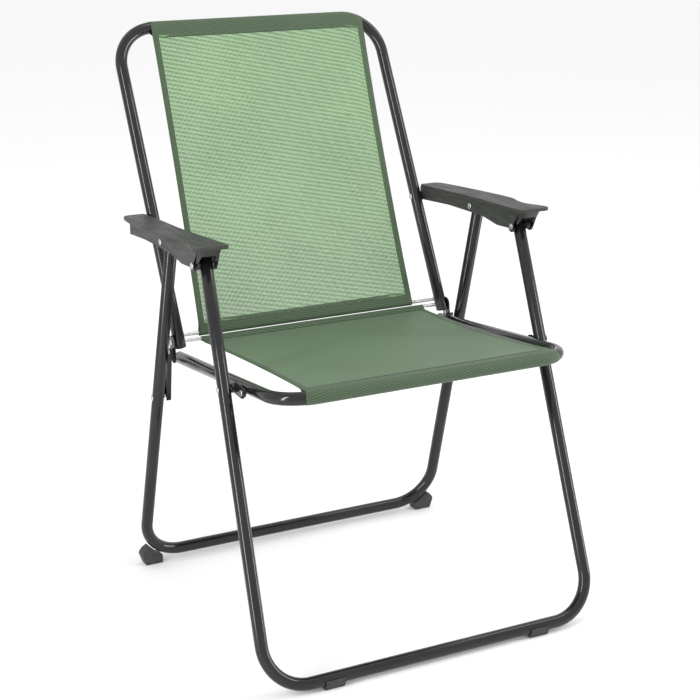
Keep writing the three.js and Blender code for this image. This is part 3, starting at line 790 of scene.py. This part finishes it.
@dataclass
class Sling:
    """A panel of mesh between a frame tube's bar and a rod, with a sleeve round each."""

    name: str
    mesh: bpy.types.Material
    bar: Vector         # the bar's middle, then the length of its straight half and its bends' radius
    straight: float
    bend: float
    outward: Vector     # from the rod to the bar
    face: Vector        # towards the sitter
    bar_x: tuple        # the cloth's two edges at the bar, and below at the rod
    rod: Vector
    rod_x: tuple
    rod_side: int       # 1 where the panel meets the rod's sitter's side, -1 the far side
    rod_seam: float     # from the rod's sleeve to its seam
    slack: float        # how loose the rod's sleeve is
    sag: float
    waist: float        # how far each edge draws in halfway

    columns = 54
    panel_steps = 42

    def ends(self, u):
        """Where the panel touches the bar's and the rod's cloth, at u from 0 to 1 across."""
        x = self.bar_x[0] + (self.bar_x[1] - self.bar_x[0]) * u
        centre, away = bar_at(x, self.bar, self.straight, self.bend, self.outward)
        foot = across(self.rod_x[0] + (self.rod_x[1] - self.rod_x[0]) * u, self.rod)
        top = centre + self.face * (TUBE_R + CLOTH_LIFT)
        low = foot + self.face * (self.rod_side * (ROD_R + CLOTH_LIFT + self.slack))
        return centre, away, top, foot, low

    def panel(self, u, w):
        """A point of the panel, at w from 0 at the bar to 1 at the rod."""
        _, _, top, _, low = self.ends(u)
        belly = 4 * w * (1 - w)
        middle = 1 - (2 * u - 1) ** 4
        point = top.lerp(low, w) - self.face * (self.sag * belly * (0.35 + 0.65 * middle))
        point.x -= self.waist * belly * (2 * u - 1)
        return point

    def panel_places(self):
        """Places down the panel, from 0 at the bar to 1 at the rod, with a line at each seam."""
        _, _, top, _, low = self.ends(0.5)
        length = (low - top).length
        seams = (BAR_SEAM / length, 1 - self.rod_seam / length)
        inner = spread(seams[0], seams[1], self.panel_steps)
        return [seams[0] / 2] + inner + [(1 + seams[1]) / 2]

    def column(self, u):
        """Points down the cloth at u across: the bar's sleeve, the panel and the rod's sleeve."""
        centre, away, top, foot, low = self.ends(u)
        down = (low - top).normalized()
        head_wrap = wrap(centre, self.face, away, TUBE_R + CLOTH_LIFT, down, BAR_SEAM)[::-1]
        rod_face = self.face * self.rod_side
        rod_radius = ROD_R + CLOTH_LIFT + self.slack
        rod_wrap = wrap(
            foot, rod_face, down, rod_radius, -down, self.rod_seam, steps=10, hang=self.slack
        )
        return head_wrap + [self.panel(u, w) for w in self.panel_places()] + rod_wrap

    def across_places(self):
        """Places across the cloth from 0 to 1, with a line at each side hem."""
        hem = HEM / (self.bar_x[1] - self.bar_x[0])
        return [0, hem / 2] + spread(hem, 1 - hem, self.columns) + [1 - hem / 2, 1]

    def flat_size(self):
        """The cut cloth's width and length, hems included."""
        middle = self.column(0.5)
        length = sum((b - a).length for a, b in zip(middle, middle[1:]))
        return abs(self.bar_x[1] - self.bar_x[0]) * MM, length * MM

    def cloth(self):
        places = self.across_places()
        grid = [self.column(u) for u in places]
        middle = grid[len(grid) // 2]
        lengths = [0.0]
        for a, b in zip(middle, middle[1:]):
            lengths.append(lengths[-1] + (b - a).length)
        width = self.bar_x[1] - self.bar_x[0]
        piece = grid_mesh(
            self.name, grid, self.mesh, uv=lambda i, j: (width * places[i] * MM, lengths[j] * MM)
        )
        # the sleeves and side hems take the folded material, darker with painted shade where the sleeves
        # wrap the bars
        piece.data.materials.append(FOLDED_MESH_DARK_AND_PAINTED_SHADE)
        per_column = len(middle) - 1
        for face in piece.data.polygons:
            column, row = divmod(face.index, per_column)
            in_hem = column < 2 or column >= len(places) - 3
            in_panel = BAR_WRAP + 1 < row < BAR_WRAP + 2 + self.panel_steps
            if in_hem or not in_panel:
                face.material_index = 1
        thicken(piece, CLOTH)
        return piece

    def side_hem(self, name, u_edge):
        """The folded edge: a second layer behind the panel, about from seam to seam."""
        width = self.bar_x[1] - self.bar_x[0]
        inwards = 1 if u_edge == 0 else -1
        rows = []
        count = 40
        for i in range(count + 1):
            w = HEM_START + HEM_RUN * i / count
            row = []
            for k in range(5):
                u = u_edge + inwards * (HEM * k / 4) / width
                row.append(self.panel(u, w) - self.face * (CLOTH * 1.3))
            rows.append(row)
        height = (rows[-1][0] - rows[0][0]).length
        piece = grid_mesh(
            name, rows, FOLDED_MESH_DARK_AND_PAINTED_SHADE, uv=lambda i, j: ((HEM * j / 4 + 0.7) * MM, height * i / count * MM)
        )
        thicken(piece, CLOTH)
        return piece

    def stitches(self):
        """Rows of lockstitch along both sleeves' seams and both side hems, as one piece."""
        width = self.bar_x[1] - self.bar_x[0]
        length = (self.panel(0.5, 1) - self.panel(0.5, 0)).length
        inset = 0.8 * HEM / width
        seams = (BAR_SEAM / length, 1 - self.rod_seam / length)
        lines = [[self.panel(u, w) for u in spread(0.01, 0.99, 80)] for w in seams]
        lines += [[self.panel(u, w) for w in spread(*seams, 80)] for u in (inset, 1 - inset)]
        return stitch_mesh(f"{self.name}_stitching", lines, self.face)


def spread(start, end, count):
    return [start + (end - start) * i / count for i in range(count + 1)]


def thicken(piece, thickness):
    skin = piece.modifiers.new("cloth", "SOLIDIFY")
    skin.thickness = thickness * MM
    skin.offset = 0.0


def along_line(line, distance):
    """The point a distance along a line of points, and the direction there."""
    for a, b in zip(line, line[1:]):
        step = (b - a).length
        if distance <= step:
            return a.lerp(b, distance / step), (b - a).normalized()
        distance -= step
    return line[-1], (line[-1] - line[-2]).normalized()


def stitch_rings(line, start, up, face):
    """Rings of points round one stitch's thread, which humps up off the cloth. up is 1 or -1."""
    rings = []
    for r in range(STITCH_RINGS):
        t = r / (STITCH_RINGS - 1)
        centre, way = along_line(line, start + STITCH * t)
        swell = math.sin(math.pi * t)
        other = way.cross(face).normalized()
        surface = CLOTH * (0.5 if up > 0 else 1.7)   # the far side has the hem's second layer
        centre = centre + face * (up * (surface + THREAD_R * 0.9 * swell))
        size = THREAD_R * (0.45 + 0.55 * swell)
        for k in range(STITCH_SIDES):
            angle = 2 * math.pi * k / STITCH_SIDES
            offset = face * math.cos(angle) + other * math.sin(angle)
            rings.append((centre + offset * size) * MM)
    return rings


def stitch_faces(base):
    """The faces over one stitch's rings and its two ends, from its first point's number."""
    faces = []
    for r in range(STITCH_RINGS - 1):
        low = base + r * STITCH_SIDES
        high = low + STITCH_SIDES
        for k in range(STITCH_SIDES):
            after = (k + 1) % STITCH_SIDES
            faces.append((low + k, low + after, high + after, high + k))
    last = base + (STITCH_RINGS - 1) * STITCH_SIDES
    faces.append(tuple(base + k for k in reversed(range(STITCH_SIDES))))
    faces.append(tuple(last + k for k in range(STITCH_SIDES)))
    return faces


def stitch_mesh(name, lines, face):
    """Short thread humps along each line, on both sides of the cloth."""
    points, faces = [], []
    for line in lines:
        total = sum((b - a).length for a, b in zip(line, line[1:]))
        for number in range(int(total // (STITCH + STITCH_GAP))):
            start = (number + 0.25) * (STITCH + STITCH_GAP)
            for up in (1, -1):
                faces += stitch_faces(len(points))
                points += stitch_rings(line, start, up, face)
    mesh = bpy.data.meshes.new(name)
    mesh.from_pydata([tuple(p) for p in points], [], faces)
    return finish_mesh(name, mesh, THREAD)


def hang(sling, node, body, rests_on):
    cloth = stand_in(sling.cloth(), node)
    extras = [sling.side_hem(f"{sling.name}_hem_{side}", u) for side, u in (("left", 0), ("right", 1))]
    extras.append(sling.stitches())
    for piece in extras:
        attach(piece, body)
    sling.flat_size()


def slings():
    back = Sling(
        "back_mesh", BACK_MESH_PAINTED_LIGHT, BACK_BAR, BACK_X - BACK_BEND, BACK_BEND, BACK_UP, BACK_FACE,
        bar_x=(-166, 194), rod=BACK_ROD, rod_x=(-188, 172), rod_side=1, rod_seam=12,
        slack=0.8, sag=4, waist=2.5,
    )
    hang(back, "back_sling", "back", ["back_frame_tube_round", "back_lower_rod_round"])
    seat = Sling(
        "seat_mesh", SEAT_MESH_PAINTED_SHADE, SEAT_BAR, SEAT_X - SEAT_BEND, SEAT_BEND, SEAT_FORWARD, SEAT_FACE,
        bar_x=(-188, 197), rod=at(0, SEAT_REAR), rod_x=(-187, 190), rod_side=-1, rod_seam=4.5,
        slack=0, sag=6, waist=8,
    )
    hang(seat, "seat_sling", "seat", ["seat_frame_tube_round", "seat_axle_round"])


# ------------------------------------------------------------------ kept CAD nodes
def paint_kept_nodes():
    """Gives the plates, links and brackets, which keep their CAD shapes, their finish."""
    for node, piece in frame["nodes"].items():
        piece.data.materials.clear()
        piece.data.materials.append(MATERIAL_OF[SLOT_OF[node]])


# ------------------------------------------------------------------ floor, light and camera
def floor():
    size = 30.0
    mesh = bpy.data.meshes.new("floor")
    corners = [(-size, -size, 0), (size, -size, 0), (size, size, 0), (-size, size, 0)]
    mesh.from_pydata(corners, [], [(0, 1, 2, 3)])
    nodes = Nodes("pale_floor", Roughness=0.9, Base_Color=(0.93, 0.93, 0.93, 1))
    piece = finish_mesh("floor", mesh, nodes.material)
    piece.location.z = -0.0005


def area_light(name, place, size, power, aim=(0, 0, 0.4)):
    light = bpy.data.lights.new(name, "AREA")
    light.shape = "RECTANGLE"
    light.size, light.size_y = size
    light.energy = power
    lamp = bpy.data.objects.new(name, light)
    lamp.location = place
    lamp.rotation_euler = (Vector(aim) - Vector(place)).to_track_quat("-Z", "Y").to_euler()
    bpy.context.scene.collection.objects.link(lamp)


def lights():
    world = bpy.context.scene.world or bpy.data.worlds.new("World")
    bpy.context.scene.world = world
    world.use_nodes = True
    sky = world.node_tree.nodes["Background"]
    sky.inputs["Color"].default_value = (1, 1, 1, 1)
    sky.inputs["Strength"].default_value = 1.0
    area_light("left strip", (-2.4, -0.9, 1.25), (0.32, 2.4), 42, aim=(0, 0, 0.6))
    area_light("right strip", (2.3, -1.3, 1.25), (0.30, 2.4), 36, aim=(0, 0, 0.6))
    area_light("top strip", (1.1, -0.1, 2.5), (0.4, 1.8), 12)


def camera():
    data = bpy.data.cameras.new("camera")
    data.lens = 82.9
    data.sensor_width = 36
    piece = bpy.data.objects.new("camera", data)
    piece.location = Vector((-1028.4, -2051.3, 1096.1)) * MM
    target = Vector((-69.3, -175.2, 426.0)) * MM
    piece.rotation_mode = "QUATERNION"
    piece.rotation_quaternion = (target - piece.location).to_track_quat("-Z", "Y")
    bpy.context.scene.collection.objects.link(piece)
    bpy.context.scene.camera = piece


# ------------------------------------------------------------------ the chair
paint_kept_nodes()
frame_tubes()
fastenings()
tube_plugs()
armrests()
for side_name, side_sign in SIDES:
    front_foot(side_name, side_sign)
    rear_foot(side_name, side_sign)
slings()
floor()
lights()
camera()
bpy.context.scene.view_settings.view_transform = "Standard"
